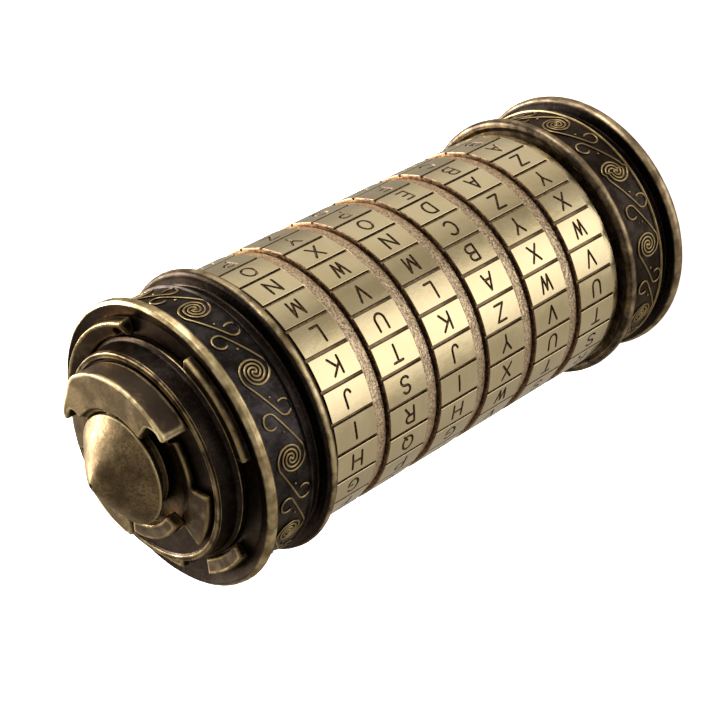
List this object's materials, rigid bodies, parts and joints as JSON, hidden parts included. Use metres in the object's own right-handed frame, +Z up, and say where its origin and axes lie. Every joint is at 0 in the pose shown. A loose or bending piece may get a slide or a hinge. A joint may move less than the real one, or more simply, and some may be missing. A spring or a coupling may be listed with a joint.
{
  "type": "cryptex",
  "caption": "Cylinder letter lock: lettered rings turn on a slotted sleeve between two scroll-banded caps, and the cone-topped cap pulls out with an inner tube that holds a message.",
  "frame": {"origin": "centre of the base rim's flat underside", "axes": "+Z up the turning axis, from the flat base cap to the cone; -Y is the side with the pictured view and +Y the side with the lock pegs"},
  "size_m": [0.0574, 0.0574, 0.1344],
  "materials": {
    "base_cap": "cast, dark antique patina with worn gold edges",
    "base_plate": "dark antique patina",
    "base_screw_1": "satin",
    "base_screw_2": "satin",
    "base_screw_3": "satin",
    "base_scroll_band": "dark patina with polished gold scroll lines",
    "claw_high": "worn gold brown",
    "claw_inner": "dark antique patina",
    "claw_middle": "worn gold brown",
    "code_ring_1": "turned brass",
    "code_ring_2": "turned brass",
    "code_ring_3": "turned brass",
    "code_ring_4": "turned brass",
    "code_ring_5": "turned brass",
    "code_ring_6": "turned brass",
    "cone": "brushed gold brown with dark specks",
    "cone_stud": "satin",
    "inner_tube": "polished brass",
    "letter_ring_1": "brushed pale antique brass, engraved letters filled dark brown",
    "letter_ring_2": "brushed pale antique brass, engraved letters filled dark brown",
    "letter_ring_3": "brushed pale antique brass, engraved letters filled dark brown",
    "letter_ring_4": "brushed pale antique brass, engraved letters filled dark brown",
    "letter_ring_5": "brushed pale antique brass, engraved letters filled dark brown",
    "letter_ring_6": "brushed pale antique brass, engraved letters filled dark brown",
    "lock_peg_1": "satin",
    "lock_peg_2": "satin",
    "lock_peg_3": "satin",
    "lock_peg_4": "satin",
    "lock_peg_5": "satin",
    "lock_peg_6": "satin",
    "retaining_collar": "turned brass",
    "rim_lug_1": "dark antique patina, gold edge",
    "rim_lug_2": "dark antique patina, gold edge",
    "rim_lug_3": "dark antique patina, gold edge",
    "rim_lug_4": "dark antique patina, gold edge",
    "rosette_plate": "dark antique patina, gold edge",
    "rosette_step": "dark antique patina, gold edge",
    "slotted_sleeve": "satin",
    "top_cap": "cast, dark antique patina with worn gold edges",
    "top_scroll_band": "dark patina with polished gold scroll lines"
  },
  "bodies": {
    "base": {"base_cap": "base_cap", "base_scroll_band": "base_scroll_band", "base_plate": "base_plate", "base_screw_1": "base_screw_1", "base_screw_2": "base_screw_2", "base_screw_3": "base_screw_3", "slotted_sleeve": "slotted_sleeve", "retaining_collar": "retaining_collar"},
    "ring_1": {"letter_ring_1": "letter_ring_1", "code_ring_1": "code_ring_1"},
    "ring_2": {"letter_ring_2": "letter_ring_2", "code_ring_2": "code_ring_2"},
    "ring_3": {"letter_ring_3": "letter_ring_3", "code_ring_3": "code_ring_3"},
    "ring_4": {"letter_ring_4": "letter_ring_4", "code_ring_4": "code_ring_4"},
    "ring_5": {"letter_ring_5": "letter_ring_5", "code_ring_5": "code_ring_5"},
    "ring_6": {"letter_ring_6": "letter_ring_6", "code_ring_6": "code_ring_6"},
    "core": {"top_cap": "top_cap", "top_scroll_band": "top_scroll_band", "rosette_step": "rosette_step", "rosette_plate": "rosette_plate", "claw_high": "claw_high", "claw_middle": "claw_middle", "claw_inner": "claw_inner", "rim_lug_1": "rim_lug_1", "rim_lug_2": "rim_lug_2", "rim_lug_3": "rim_lug_3", "rim_lug_4": "rim_lug_4", "cone": "cone", "cone_stud": "cone_stud", "inner_tube": "inner_tube", "lock_peg_1": "lock_peg_1", "lock_peg_2": "lock_peg_2", "lock_peg_3": "lock_peg_3", "lock_peg_4": "lock_peg_4", "lock_peg_5": "lock_peg_5", "lock_peg_6": "lock_peg_6"}
  },
  "joints": [
    {"name": "ring_1_turn", "type": "hinge", "parent": "base", "child": "ring_1", "pos_m": [0, 0, 0.0925], "axis": [0, 0, 1], "continuous": true},
    {"name": "ring_2_turn", "type": "hinge", "parent": "base", "child": "ring_2", "pos_m": [0, 0, 0.0789], "axis": [0, 0, 1], "continuous": true},
    {"name": "ring_3_turn", "type": "hinge", "parent": "base", "child": "ring_3", "pos_m": [0, 0, 0.0653], "axis": [0, 0, 1], "continuous": true},
    {"name": "ring_4_turn", "type": "hinge", "parent": "base", "child": "ring_4", "pos_m": [0, 0, 0.0517], "axis": [0, 0, 1], "continuous": true},
    {"name": "ring_5_turn", "type": "hinge", "parent": "base", "child": "ring_5", "pos_m": [0, 0, 0.0381], "axis": [0, 0, 1], "continuous": true},
    {"name": "ring_6_turn", "type": "hinge", "parent": "base", "child": "ring_6", "pos_m": [0, 0, 0.0245], "axis": [0, 0, 1], "continuous": true},
    {"name": "core_pull", "type": "slide", "parent": "base", "child": "core", "axis": [0, 0, 1], "range_m": [0, 0.095]}
  ]
}
